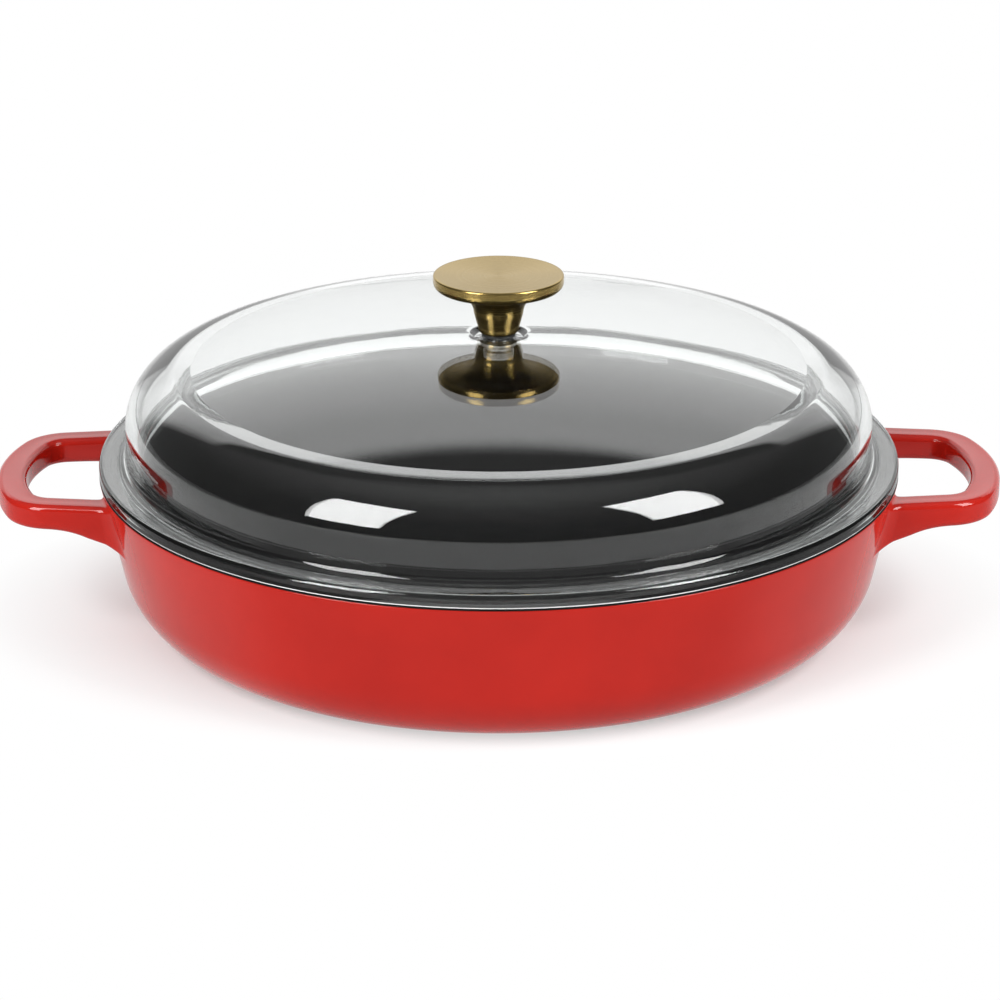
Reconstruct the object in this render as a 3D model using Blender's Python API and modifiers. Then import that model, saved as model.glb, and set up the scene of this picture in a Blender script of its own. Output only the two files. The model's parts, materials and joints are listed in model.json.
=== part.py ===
"""Enamelled cast iron pan with two loop handles, a domed glass lid and a turned knob.

Lengths are in metres and +Z is up. The origin is the middle of the base, and +X runs through a handle.
The bowl and its handles are one casting, with a black lining that runs over the rim. The lid and all that
is screwed to it hang on one empty at the rim, on the axis along which the lid lifts off.
"""

import math

import bmesh
import bpy
from mathutils import Matrix, Vector

# Gap kept between pieces that touch
CLEARANCE = 0.0003

# Bowl
RIM_RADIUS = 0.155
PAN_HEIGHT = 0.0627
WALL = 0.0045  # iron and lining together
FLOOR = 0.005
WALL_TAPER = math.radians(10.0)  # lean of the wall, which is wider at the top
BASE_CORNER = 0.033  # radius outside, between wall and base
RIM_ROUND = 0.0011
RIM_BAND = 0.0012  # how far the lining runs down outside the rim
ENAMEL = 0.0005
FOOT_RING = 0.018  # width of the flat ring that the pan stands on
FOOT_RECESS = 0.0008

# Handles
HANDLE_LENGTH = 0.040  # reach past the rim
HANDLE_SPREAD = 0.0905  # across both legs, where they pass the rim
HANDLE_DROP = 0.0021  # from the lining's lower edge down to the handle's top face
LEG_TAPER = math.radians(7.0)
HANDLE_CORNER = 0.0143  # along the middle of the bar
HANDLE_BOW = 0.075  # radius of the loop's outer end, along the middle of the bar
BAR_WIDTH = 0.0114
BAR_HEIGHT = 0.010
BAR_EDGE = 0.0034
GUSSET_DROP = 0.006  # how much deeper the bar's outer side is where it meets the wall
GUSSET_LENGTH = 0.028
ROOT_FILLET = 0.005

# Glass lid, with heights above the rim
GLASS = 0.0046
FLANGE_WIDTH = 0.0105
FLANGE_THICKNESS = 0.005
FLANGE_ROUND = 0.0018
FLANGE_BEVEL = 0.0008  # at the lower edge
DOME_RISE = 0.0514
DOME_WALL = 0.0168  # height at which the upright wall turns into the shoulder
DOME_SHOULDER = 0.0215
DOME_ROOT = 0.0035  # fillet between flange and dome
WALL_FOOT = 0.006  # height at which the inner wall runs out to the ring
LAND_INSET = 0.0202  # from the wall's outside in to the land, a flatter ring under the end of the crown
LAND_WIDTH = 0.0062
LAND_FALL = math.radians(5.0)
INNER_TURN = math.radians(80.0)  # turn of the inner shoulder, from the wall to the land
SEAT_DEPTH = 0.0013  # of the dish in the crown that the knob's gasket sits in
SEAT_MARGIN = 0.0037  # from the gasket's edge out to the edge of the dish
RING_DEPTH = 0.005  # the ring under the flange that keeps the lid in the pan's mouth
RING_WIDTH = 0.0035
RING_PLAY = 0.0015

# Knob
KNOB_RADIUS = 0.02515
KNOB_HEIGHT = 0.0231
KNOB_EDGE = 0.0044  # thickness of the disc at its edge
KNOB_ROUND = 0.0014
KNOB_DISH = 0.0006
NECK_RADIUS = 0.0088  # where the flare starts
NECK_FOOT = 0.0078
NECK_LENGTH = 0.0091  # from the foot to the flare
FLARE_BEND = 1.25  # 1 is a plain ellipse, more is nearer to a cone
FOOT_ROUND = 0.0014

# Fixings
SCREW_RADIUS = 0.003
SCREW_GRIP = 0.010  # length of thread in the knob
SCREW_POINT = 0.0008
HEAD_RADIUS = 0.0058
HEAD_HEIGHT = 0.0037
DRIVE_WIDTH = 0.0012
DRIVE_LENGTH = 0.0058
DRIVE_DEPTH = 0.002
GASKET_THICKNESS = 0.001
GROMMET_WALL = 0.0012
GROMMET_FLANGE = 0.0034
WASHER_RADIUS = 0.007
WASHER_THICKNESS = 0.0014
LOCK_RADIUS = 0.0056
LOCK_THICKNESS = 0.0015
LOCK_SPLIT = 0.0012
LOCK_LEAN = math.radians(25.0)

# Facets
ROUND_STEPS = 64
KNOB_STEPS = 40
SMALL_STEPS = 24
SHARP_ANGLE = math.radians(35.0)

# Heights and radii that several pieces share
QUARTER = math.pi / 2
BAND_FOOT = PAN_HEIGHT - RIM_BAND
HANDLE_TOP = BAND_FOOT - HANDLE_DROP
TOP_FILLET = min(ROOT_FILLET, max(HANDLE_DROP - CLEARANCE, 0.0))
DOME_RADIUS = RIM_RADIUS - FLANGE_WIDTH
SCREW_HOLE = SCREW_RADIUS + CLEARANCE
GLASS_HOLE = SCREW_HOLE + GROMMET_WALL + CLEARANCE
SEAT_RADIUS = NECK_FOOT + SEAT_MARGIN
GASKET_FOOT = DOME_RISE - SEAT_DEPTH + CLEARANCE
KNOB_FOOT = GASKET_FOOT + GASKET_THICKNESS + CLEARANCE
GROMMET_SEAT = DOME_RISE - GLASS - CLEARANCE
WASHER_SEAT = GROMMET_SEAT - GROMMET_WALL - CLEARANCE
LOCK_SEAT = WASHER_SEAT - WASHER_THICKNESS - CLEARANCE
HEAD_SEAT = LOCK_SEAT - LOCK_THICKNESS - CLEARANCE


def clear_scene():
    for obj in list(bpy.data.objects):
        bpy.data.objects.remove(obj)


def new_collection(name, rendered=True):
    collection = bpy.data.collections.new(name)
    collection.hide_render = not rendered
    bpy.context.scene.collection.children.link(collection)
    return collection


def finish(name, colour, roughness, metallic=0.0, transmission=0.0):
    material = bpy.data.materials.new(name)
    material.use_nodes = True
    shader = material.node_tree.nodes["Principled BSDF"]
    shader.inputs["Base Color"].default_value = (*colour, 1.0)
    shader.inputs["Roughness"].default_value = roughness
    shader.inputs["Metallic"].default_value = metallic
    shader.inputs["Transmission Weight"].default_value = transmission
    return material


def new_object(name, mesh, collection, material=None, parent=None):
    obj = bpy.data.objects.new(name, mesh)
    collection.objects.link(obj)
    obj.parent = parent
    if material:
        mesh.materials.append(material)
    else:
        obj.hide_render = True
        obj.display_type = "WIRE"
    return obj


def arc(centre, radius, start, end, pieces):
    """Points along an arc of a profile, both ends included, with angles from the +X side."""
    angles = [start + (end - start) * i / pieces for i in range(pieces + 1)]
    return [(centre[0] + radius * math.cos(a), centre[1] + radius * math.sin(a)) for a in angles]


def turned(name, profile, steps, collection, material=None, parent=None):
    """A body turned about Z. Its profile runs down the outside, and is a loop unless it ends on the axis."""
    edges = [(i, i + 1) for i in range(len(profile) - 1)]
    if profile[0][0] > 0:
        edges.append((len(profile) - 1, 0))
    mesh = bpy.data.meshes.new(name)
    mesh.from_pydata([(r, 0.0, z) for r, z in profile], edges, [])
    obj = new_object(name, mesh, collection, material, parent)
    screw = obj.modifiers.new("turn", "SCREW")
    screw.steps = steps
    screw.render_steps = steps
    screw.use_merge_vertices = True
    screw.merge_threshold = 1e-6
    return obj


def combine(obj, operation, other):
    boolean = obj.modifiers.new(other.name, "BOOLEAN")
    boolean.operation = operation
    boolean.object = other


def settle(obj):
    """Applies the modifiers, then shades round faces smooth and keeps the edges crisp."""
    bpy.context.view_layer.update()
    graph = bpy.context.evaluated_depsgraph_get()
    mesh = bpy.data.meshes.new_from_object(obj.evaluated_get(graph))
    obj.modifiers.clear()
    obj.data = mesh
    mesh.shade_smooth()
    mesh.set_sharp_from_angle(angle=SHARP_ANGLE)


def beside_wall(depth, z):
    """Radius at height z on a line parallel to the bowl's outside, that far under it."""
    return RIM_RADIUS - (depth - math.sin(WALL_TAPER) * (z - BAND_FOOT)) / math.cos(WALL_TAPER)


def bowl_outside():
    corner = (beside_wall(BASE_CORNER, BASE_CORNER), BASE_CORNER)
    ring_inside = corner[0] - FOOT_RING
    return [
        (0.0, PAN_HEIGHT),
        (RIM_RADIUS, PAN_HEIGHT),
        (RIM_RADIUS, BAND_FOOT),
        *arc(corner, BASE_CORNER, -WALL_TAPER, -QUARTER, 6),
        (ring_inside, 0.0),
        (ring_inside - FOOT_RECESS, FOOT_RECESS),
        (0.0, FOOT_RECESS),
    ]


def bowl_inside(depth):
    """The lining's bare face, or a face that far under it, from outside the rim in to the axis."""
    rim_centre = PAN_HEIGHT - RIM_ROUND
    rim_outer = (RIM_RADIUS - RIM_ROUND, rim_centre)
    rim_inner = (beside_wall(WALL - RIM_ROUND, rim_centre), rim_centre)
    corner_radius = BASE_CORNER - WALL
    corner_centre = FLOOR + corner_radius
    corner = (beside_wall(WALL + corner_radius, corner_centre), corner_centre)
    return [
        (RIM_RADIUS - depth, BAND_FOOT),
        *arc(rim_outer, RIM_ROUND - depth, 0.0, QUARTER, 2),
        *arc(rim_inner, RIM_ROUND - depth, QUARTER, math.pi - WALL_TAPER, 2),
        *arc(corner, corner_radius + depth, -WALL_TAPER, -QUARTER, 5),
        (0.0, FLOOR - depth),
    ]


def make_bowl_blank(collection, material):
    return turned("pan_casting", bowl_outside(), ROUND_STEPS, collection, material)


def make_lining_space(collection):
    """Everything that the lining and the pan's hollow take out of the casting."""
    face = bowl_inside(ENAMEL + CLEARANCE)
    ledge = BAND_FOOT - CLEARANCE
    past_rim = RIM_RADIUS + WALL
    above_rim = PAN_HEIGHT + WALL
    profile = [
        (0.0, above_rim),
        (past_rim, above_rim),
        (past_rim, ledge),
        (face[0][0], ledge),
        *face[1:],
    ]
    return turned("lining_space", profile, ROUND_STEPS, collection)


def make_interior_enamel(collection, material):
    profile = bowl_inside(0.0)[::-1] + bowl_inside(ENAMEL)
    return turned("interior_enamel", profile, ROUND_STEPS, collection, material)


def leaves_circle(start, direction, centre, radius):
    """Where a line from start, along a unit direction, leaves a circle."""
    offset = start - centre
    along = offset.dot(direction)
    return start + direction * (math.sqrt(along**2 - offset.length_squared + radius**2) - along)


def bar_outline():
    """Points round the bar's section: place across and above its top middle, facing, and share of the gusset."""
    edge_pieces = 2
    side = BAR_WIDTH / 2 - BAR_EDGE
    high = -BAR_EDGE
    low = BAR_EDGE - BAR_HEIGHT
    outline = []
    for corner, (across, height) in enumerate(((side, high), (-side, high), (-side, low), (side, low))):
        for i in range(edge_pieces + 1):
            angle = QUARTER * (corner + i / edge_pieces)
            spread, lift = math.cos(angle), math.sin(angle)
            u = across + BAR_EDGE * spread
            share = 0.5 + u / BAR_WIDTH if height == low else 0.0
            outline.append((u, height + BAR_EDGE * lift, spread, lift, share))
    return outline


def gusset(reach):
    """How much deeper the bar is at a distance from the wall."""
    return GUSSET_DROP * min(max(1.0 - reach / GUSSET_LENGTH, 0.0), 1.0) ** 2


def fillet(reach, radius):
    """How much the bar swells at a distance from the wall that it grows out of."""
    gap = min(max(radius - reach, 0.0), radius)
    return radius - math.sqrt(radius**2 - gap**2)


def root_ring(leg, along, reach):
    """Ring round a leg whose points all lie that far from the wall, slid along the wall by the root's fillet."""
    outward = Vector((-along.y, along.x))
    axis = Vector((0.0, 0.0))
    ring = []
    for u, v, spread, lift, share in bar_outline():
        z = HANDLE_TOP + v - share * gusset(reach)
        place = leaves_circle(leg + outward * u, along, axis, beside_wall(0.0, z) + reach)
        turn = spread * fillet(reach, ROOT_FILLET) / place.length
        climb = lift * fillet(reach, TOP_FILLET if lift > 0 else ROOT_FILLET)
        place = Matrix.Rotation(turn, 2) @ place
        place *= 1.0 + climb * math.sin(WALL_TAPER) / place.length
        ring.append((place.x, place.y, z + climb * math.cos(WALL_TAPER)))
    return ring


def bar_ring(point, outward):
    """Ring square to the bar at a point on its middle."""
    reach = point.length - beside_wall(0.0, HANDLE_TOP)
    ring = []
    for u, v, _, _, share in bar_outline():
        place = point + outward * u
        ring.append((place.x, place.y, HANDLE_TOP + v - share * gusset(reach)))
    return ring


def half_handle():
    """Rings along half of the handle's loop, from inside the wall to the middle of its end."""
    along = Vector((math.cos(LEG_TAPER), -math.sin(LEG_TAPER)))
    outward = Vector((math.sin(LEG_TAPER), math.cos(LEG_TAPER)))
    leg = Vector((RIM_RADIUS, (HANDLE_SPREAD - BAR_WIDTH) / 2))
    bow = Vector((RIM_RADIUS + HANDLE_LENGTH - BAR_WIDTH / 2 - HANDLE_BOW, 0.0))
    corner = leaves_circle(leg - outward * HANDLE_CORNER, along, bow, HANDLE_BOW - HANDLE_CORNER)
    meeting = math.atan2(corner.y - bow.y, corner.x - bow.x)

    root_pieces, leg_pieces, corner_pieces, bow_pieces = 4, 3, 5, 4
    slopes = [QUARTER * (1.0 - i / root_pieces) for i in range(root_pieces + 1)]
    reaches = [-WALL / 2] + [ROOT_FILLET * (1.0 - math.sin(slope)) for slope in slopes]
    rings = [root_ring(leg, along, reach) for reach in reaches]

    root_end = leaves_circle(leg, along, Vector((0.0, 0.0)), beside_wall(0.0, HANDLE_TOP) + ROOT_FILLET)
    leg_end = corner + outward * HANDLE_CORNER
    rings += [bar_ring(root_end.lerp(leg_end, i / leg_pieces), outward) for i in range(1, leg_pieces)]
    for centre, radius, start, end, pieces in (
        (corner, HANDLE_CORNER, QUARTER - LEG_TAPER, meeting, corner_pieces),
        (bow, HANDLE_BOW, meeting, 0.0, bow_pieces),
    ):
        for i in range(pieces):
            angle = start + (end - start) * i / pieces
            across = Vector((math.cos(angle), math.sin(angle)))
            rings.append(bar_ring(centre + across * radius, across))
    return rings + [bar_ring(bow + Vector((HANDLE_BOW, 0.0)), Vector((1.0, 0.0)))]


def make_handle_mesh():
    """Loft round the loop, from inside the wall on one side to inside the wall on the other."""
    half = half_handle()
    loop = half + [[(x, -y, z) for x, y, z in ring] for ring in half[-2::-1]]
    mesh = bpy.data.meshes.new("handle_bar")
    bm = bmesh.new()
    rings = [[bm.verts.new(place) for place in ring] for ring in loop]
    for ring, following in zip(rings, rings[1:]):
        for i in range(len(ring)):
            j = (i + 1) % len(ring)
            bm.faces.new((ring[i], ring[j], following[j], following[i]))
    bm.faces.new(rings[0])
    bm.faces.new(rings[-1])
    bmesh.ops.recalc_face_normals(bm, faces=bm.faces)
    bm.to_mesh(mesh)
    bm.free()
    mesh.shade_smooth()
    return mesh


def lid_profile():
    foot = CLEARANCE
    top = foot + FLANGE_THICKNESS
    shoulder = (DOME_RADIUS - DOME_SHOULDER, DOME_WALL)
    rise = DOME_RISE - DOME_WALL
    crown_radius = (shoulder[0] ** 2 + rise**2 - DOME_SHOULDER**2) / (2 * (rise - DOME_SHOULDER))
    crown = (0.0, DOME_RISE - crown_radius)
    crown_end = math.acos(shoulder[0] / (crown_radius - DOME_SHOULDER))
    root = (DOME_RADIUS + DOME_ROOT, top + DOME_ROOT)
    edge_top = (RIM_RADIUS - FLANGE_ROUND, top - FLANGE_ROUND)
    ring_radius = beside_wall(WALL, PAN_HEIGHT - RING_DEPTH) - RING_PLAY
    ring = (ring_radius - RING_WIDTH / 2, RING_WIDTH / 2 - RING_DEPTH)
    under = crown_radius - GLASS
    land_start = DOME_RADIUS - LAND_INSET - LAND_WIDTH
    land_top = crown[1] + math.sqrt(under**2 - land_start**2)
    inner_wall = DOME_RADIUS - GLASS
    inner_radius = (LAND_INSET - GLASS) / (1.0 - math.cos(INNER_TURN))
    inner_top = land_top - LAND_WIDTH * math.tan(LAND_FALL)
    inner_shoulder = (inner_wall - inner_radius, inner_top - inner_radius * math.sin(INNER_TURN))
    return [
        (GLASS_HOLE, DOME_RISE - SEAT_DEPTH),
        (SEAT_RADIUS - SEAT_DEPTH, DOME_RISE - SEAT_DEPTH),
        *arc(crown, crown_radius, math.acos(SEAT_RADIUS / crown_radius), crown_end, 3),
        *arc(shoulder, DOME_SHOULDER, crown_end, 0.0, 5)[1:],
        *arc(root, DOME_ROOT, math.pi, 1.5 * math.pi, 2),
        *arc(edge_top, FLANGE_ROUND, QUARTER, 0.0, 2),
        (RIM_RADIUS, foot + FLANGE_BEVEL),
        (RIM_RADIUS - FLANGE_BEVEL, foot),
        (ring_radius, foot),
        *arc(ring, RING_WIDTH / 2, 0.0, -math.pi, 3),
        (inner_wall, WALL_FOOT),
        *arc(inner_shoulder, inner_radius, 0.0, INNER_TURN, 4),
        *arc(crown, under, math.acos(land_start / under), math.acos(GLASS_HOLE / under), 3),
    ]


def knob_profile():
    top = KNOB_FOOT + KNOB_HEIGHT
    edge = KNOB_RADIUS - KNOB_ROUND
    disc_foot = top - KNOB_EDGE
    flare_foot = KNOB_FOOT + NECK_LENGTH
    flare = [
        (
            edge - (edge - NECK_RADIUS) * math.cos(angle) ** FLARE_BEND,
            disc_foot - (disc_foot - flare_foot) * (1.0 - math.sin(angle) ** FLARE_BEND),
        )
        for angle in (QUARTER * (1.0 - i / 6) for i in range(7))
    ]
    bore_end = KNOB_FOOT + SCREW_GRIP + SCREW_POINT
    return [
        (0.0, top - KNOB_DISH),
        (edge / 2, top - KNOB_DISH * 0.75),
        *arc((edge, top - KNOB_ROUND), KNOB_ROUND, QUARTER, 0.0, 2),
        *arc((edge, disc_foot + KNOB_ROUND), KNOB_ROUND, 0.0, -QUARTER, 2)[:-1],
        *flare,
        *arc((NECK_FOOT - FOOT_ROUND, KNOB_FOOT + FOOT_ROUND), FOOT_ROUND, 0.0, -QUARTER, 2),
        (SCREW_HOLE, KNOB_FOOT),
        (SCREW_HOLE, bore_end),
        (0.0, bore_end),
    ]


def ring_profile(inner, outer, foot, height):
    return [(inner, foot + height), (outer, foot + height), (outer, foot), (inner, foot)]


def grommet_profile():
    sleeve = SCREW_HOLE + GROMMET_WALL
    flange = sleeve + GROMMET_FLANGE
    return [
        (SCREW_HOLE, GASKET_FOOT - 2 * CLEARANCE),
        (sleeve, GASKET_FOOT - 2 * CLEARANCE),
        (sleeve, GROMMET_SEAT),
        (flange, GROMMET_SEAT),
        (flange, GROMMET_SEAT - GROMMET_WALL),
        (SCREW_HOLE, GROMMET_SEAT - GROMMET_WALL),
    ]


def screw_profile():
    tip = KNOB_FOOT + SCREW_GRIP
    foot = HEAD_SEAT - HEAD_HEIGHT
    crown = HEAD_HEIGHT / 2
    return [
        (0.0, tip),
        (SCREW_RADIUS - SCREW_POINT, tip),
        (SCREW_RADIUS, tip - SCREW_POINT),
        (SCREW_RADIUS, HEAD_SEAT),
        (HEAD_RADIUS, HEAD_SEAT),
        *arc((HEAD_RADIUS - crown, foot + crown), crown, 0.0, -QUARTER, 3),
        (0.0, foot),
    ]


def make_block(name, size, collection, parent):
    mesh = bpy.data.meshes.new(name)
    bm = bmesh.new()
    bmesh.ops.create_cube(bm, size=1.0)
    bmesh.ops.scale(bm, vec=size, verts=bm.verts)
    bm.to_mesh(mesh)
    bm.free()
    return new_object(name, mesh, collection, parent=parent)


def make_lock_washer(collection, cutters, material, parent):
    foot = LOCK_SEAT - LOCK_THICKNESS
    profile = ring_profile(SCREW_HOLE, LOCK_RADIUS, foot, LOCK_THICKNESS)
    washer = turned("lock_washer", profile, SMALL_STEPS, collection, material, parent)
    split = make_block("lock_split", (2 * LOCK_RADIUS, LOCK_SPLIT, 3 * LOCK_THICKNESS), cutters, parent)
    split.location = (LOCK_RADIUS, 0.0, foot + LOCK_THICKNESS / 2)
    split.rotation_euler.x = LOCK_LEAN
    combine(washer, "DIFFERENCE", split)
    return washer


def make_knob_screw(collection, cutters, material, parent):
    screw = turned("knob_screw", screw_profile(), SMALL_STEPS, collection, material, parent)
    for turn in range(2):
        slot = make_block(f"drive_slot_{turn}", (DRIVE_LENGTH, DRIVE_WIDTH, 2 * DRIVE_DEPTH), cutters, parent)
        slot.location.z = HEAD_SEAT - HEAD_HEIGHT
        slot.rotation_euler.z = turn * QUARTER
        combine(screw, "DIFFERENCE", slot)
    return screw


def make_pan(parts, cutters):
    red = finish("red_enamel", (0.55, 0.03, 0.022), 0.12)
    black = finish("black_enamel", (0.012, 0.012, 0.012), 0.35)
    casting = make_bowl_blank(parts, red)
    handle_mesh = make_handle_mesh()
    for side, turn in (("right", 0.0), ("left", math.pi)):
        handle = new_object(f"handle_{side}", handle_mesh, cutters)
        handle.rotation_euler.z = turn
        combine(casting, "UNION", handle)
    combine(casting, "DIFFERENCE", make_lining_space(cutters))
    return [casting, make_interior_enamel(parts, black)]


def make_lid(parts, cutters):
    lift = bpy.data.objects.new("lid_lift_axis", None)
    lift.location.z = PAN_HEIGHT
    parts.objects.link(lift)
    glass = finish("clear_glass", (0.95, 0.98, 0.97), 0.02, transmission=1.0)
    gold = finish("brushed_gold", (0.6, 0.46, 0.24), 0.3, metallic=1.0)
    silicone = finish("dark_silicone", (0.03, 0.03, 0.03), 0.6)
    steel = finish("bright_steel", (0.6, 0.6, 0.6), 0.3, metallic=1.0)
    gasket = ring_profile(SCREW_HOLE, NECK_FOOT, GASKET_FOOT, GASKET_THICKNESS)
    washer = ring_profile(SCREW_HOLE, WASHER_RADIUS, WASHER_SEAT - WASHER_THICKNESS, WASHER_THICKNESS)
    return [
        turned("lid_glass", lid_profile(), ROUND_STEPS, parts, glass, lift),
        turned("lid_knob", knob_profile(), KNOB_STEPS, parts, gold, lift),
        turned("knob_gasket", gasket, SMALL_STEPS, parts, silicone, lift),
        turned("hole_grommet", grommet_profile(), SMALL_STEPS, parts, silicone, lift),
        turned("flat_washer", washer, SMALL_STEPS, parts, steel, lift),
        make_lock_washer(parts, cutters, steel, lift),
        make_knob_screw(parts, cutters, steel, lift),
    ]


def main():
    clear_scene()
    parts = new_collection("enamelled_pan")
    cutters = new_collection("cutters", rendered=False)
    for obj in make_pan(parts, cutters) + make_lid(parts, cutters):
        settle(obj)
        print(obj.name, len(obj.data.polygons), "faces")


main()
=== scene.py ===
# %% [markdown]
# # A red pan with a glass lid
#
# The solids of this pan come packed as a frame: a casting with two loop handles, its black lining, a glass
# lid, and a knob that a small stack of fixings holds to the glass. This lesson builds a finer mesh over each
# solid, gives it a finish made of shader nodes, and lights it as a shop would for a catalogue picture.
# The frame says where each piece is, and each new piece stands for one solid. A few measures, such as the
# height of the rim, differ from the solid's by about a millimetre, where the picture tells them better.

# %% Load the frame
import json
import math

import bmesh
import bpy
from mathutils import Matrix, Vector, noise


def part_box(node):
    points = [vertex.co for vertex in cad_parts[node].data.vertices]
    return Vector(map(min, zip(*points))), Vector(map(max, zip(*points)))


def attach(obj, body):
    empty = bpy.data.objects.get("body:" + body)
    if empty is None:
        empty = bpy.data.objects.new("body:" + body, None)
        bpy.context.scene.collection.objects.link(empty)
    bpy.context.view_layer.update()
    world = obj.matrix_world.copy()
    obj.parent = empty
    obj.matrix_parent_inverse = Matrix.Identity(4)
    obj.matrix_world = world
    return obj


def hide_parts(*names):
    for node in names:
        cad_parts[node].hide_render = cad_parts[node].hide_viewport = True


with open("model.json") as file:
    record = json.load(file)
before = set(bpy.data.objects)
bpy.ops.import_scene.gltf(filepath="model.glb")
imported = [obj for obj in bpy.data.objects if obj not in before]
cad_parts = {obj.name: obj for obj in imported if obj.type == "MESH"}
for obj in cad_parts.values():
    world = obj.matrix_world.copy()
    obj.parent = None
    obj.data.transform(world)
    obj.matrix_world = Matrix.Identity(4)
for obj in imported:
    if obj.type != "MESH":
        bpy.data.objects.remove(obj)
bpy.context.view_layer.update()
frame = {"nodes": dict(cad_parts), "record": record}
print("solids:", ", ".join(sorted(frame["nodes"])))

# %% [markdown]
# ## Sizes
#
# A turned piece is known by its radii and heights, and the frame gives the main ones as boxes. What a box
# can't tell, such as the lean of the wall or a fillet, is named in metres where it is first needed. Round
# stretches are cut into short runs, and how many each one gets is named with the sizes.

# %% Sizes read from the frame
QUARTER = math.pi / 2
RIM_DROP = 0.0011  # how much lower the picture has the rim than the solids
RIM_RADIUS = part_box("interior_enamel")[1].x
PAN_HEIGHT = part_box("interior_enamel")[1].z - RIM_DROP
HANDLE_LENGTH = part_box("pan_casting")[1].x - RIM_RADIUS
KNOB_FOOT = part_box("lid_knob")[0].z
KNOB_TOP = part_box("lid_knob")[1].z
KNOB_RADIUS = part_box("lid_knob")[1].x
NECK_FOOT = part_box("knob_gasket")[1].x
print(f"rim radius {RIM_RADIUS:.4f}, rim height {PAN_HEIGHT:.4f}, knob top {KNOB_TOP:.4f}")

# %% Sizes of the bowl
GAP = 0.0003  # kept between pieces that touch
WALL = 0.0045  # iron and lining together
FLOOR = 0.005
WALL_TAPER = math.radians(12.0)
BASE_CORNER = 0.0295
BELLY_RISE = 0.0009  # how far the belly hangs clear of the table, outside the foot ring
RIM_ROUND = 0.00025
RIM_BAND = 0.00025  # how far the lining runs down outside the rim
RIM_LIP = 0.0003  # round of the red edge under it
ENAMEL = 0.0001
ENAMEL_GAP = 0.0001  # between the lining and the iron
FOOT_RING = 0.018
FOOT_INSET = 0.004
FOOT_RECESS = 0.0008
FOOT_EDGE = 0.0006
LIP_PIECES = 5  # short runs in the lip's round
RIM_PIECES = 8
CORNER_PIECES = 36
INNER_PIECES = 30  # in the corner inside the bowl
ROUND_PIECES = 4  # in any small round
BAND_FOOT = PAN_HEIGHT - RIM_BAND
print(f"the lining ends {RIM_BAND * 1000:.2f} mm below the rim")

# %% [markdown]
# ## A lathe
#
# Most of this pan was round before it was anything else: the bowl comes from a turned pattern, the lid from a
# round press, and the knob from a lathe. So one small lathe serves them all. A profile is a list of points
# (radius, height), round stretches come from `arc`, and `lathe` spins the profile with a Screw modifier.
# Straight runs are cut into short ones first, so that smooth shading bends only where the shape does.


# %% Profiles
def arc(centre, radius, start, end, pieces):
    """Points on an arc, both ends included, with angles from the +X side."""
    angles = [start + (end - start) * i / pieces for i in range(pieces + 1)]
    return [(centre[0] + radius * math.cos(a), centre[1] + radius * math.sin(a)) for a in angles]


def shorten(profile, longest):
    """The same profile with no straight run longer than that."""
    points = [profile[0]]
    for (r0, z0), (r1, z1) in zip(profile, profile[1:]):
        pieces = max(1, math.ceil(math.hypot(r1 - r0, z1 - z0) / longest))
        points += [(r0 + (r1 - r0) * i / pieces, z0 + (z1 - z0) * i / pieces) for i in range(1, pieces + 1)]
    return points


# %% The lathe
SHARP_ANGLE = math.radians(40.0)


def settle(obj):
    """Turns the modifiers into mesh, then shades it smooth and keeps real edges crisp."""
    bpy.context.view_layer.update()
    graph = bpy.context.evaluated_depsgraph_get()
    mesh = bpy.data.meshes.new_from_object(obj.evaluated_get(graph))
    obj.modifiers.clear()
    obj.data = mesh
    mesh.shade_smooth()
    mesh.set_sharp_from_angle(angle=SHARP_ANGLE)
    return obj


def new_piece(name, mesh):
    obj = bpy.data.objects.new(name, mesh)
    bpy.context.scene.collection.objects.link(obj)
    return obj


def lathe(name, profile, steps):
    """A body turned about Z. The profile runs down the outside, and is a loop unless it ends on the axis."""
    edges = [(i, i + 1) for i in range(len(profile) - 1)]
    if profile[-1][0] > 0.0:
        edges.append((len(profile) - 1, 0))
    mesh = bpy.data.meshes.new(name)
    mesh.from_pydata([(r, 0.0, z) for r, z in profile], edges, [])
    obj = new_piece(name, mesh)
    screw = obj.modifiers.new("turn", "SCREW")
    screw.steps = steps
    screw.render_steps = steps
    screw.use_merge_vertices = True
    screw.merge_threshold = 1e-6
    settle(obj)
    print(f"{name}: {len(obj.data.polygons)} faces from {len(profile)} points")
    return obj


# %% [markdown]
# ## The bowl
#
# The bowl is cast iron with red glass fired onto it. Its wall leans out, rolls into the base on a large
# radius and stands on a flat ring, and outside that ring the belly hangs just clear of the table. The black
# lining folds over the rim, and the red starts under it on a thin round lip. `beside_wall` is a line parallel
# to the outside, and both faces of the bowl are drawn from it, so that the wall stays equally thick.


# %% Bowl profiles
def beside_wall(depth, z):
    """Radius at height z on a line parallel to the bowl's outside, that far under it."""
    return RIM_RADIUS - (depth - math.sin(WALL_TAPER) * (z - BAND_FOOT)) / math.cos(WALL_TAPER)


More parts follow.
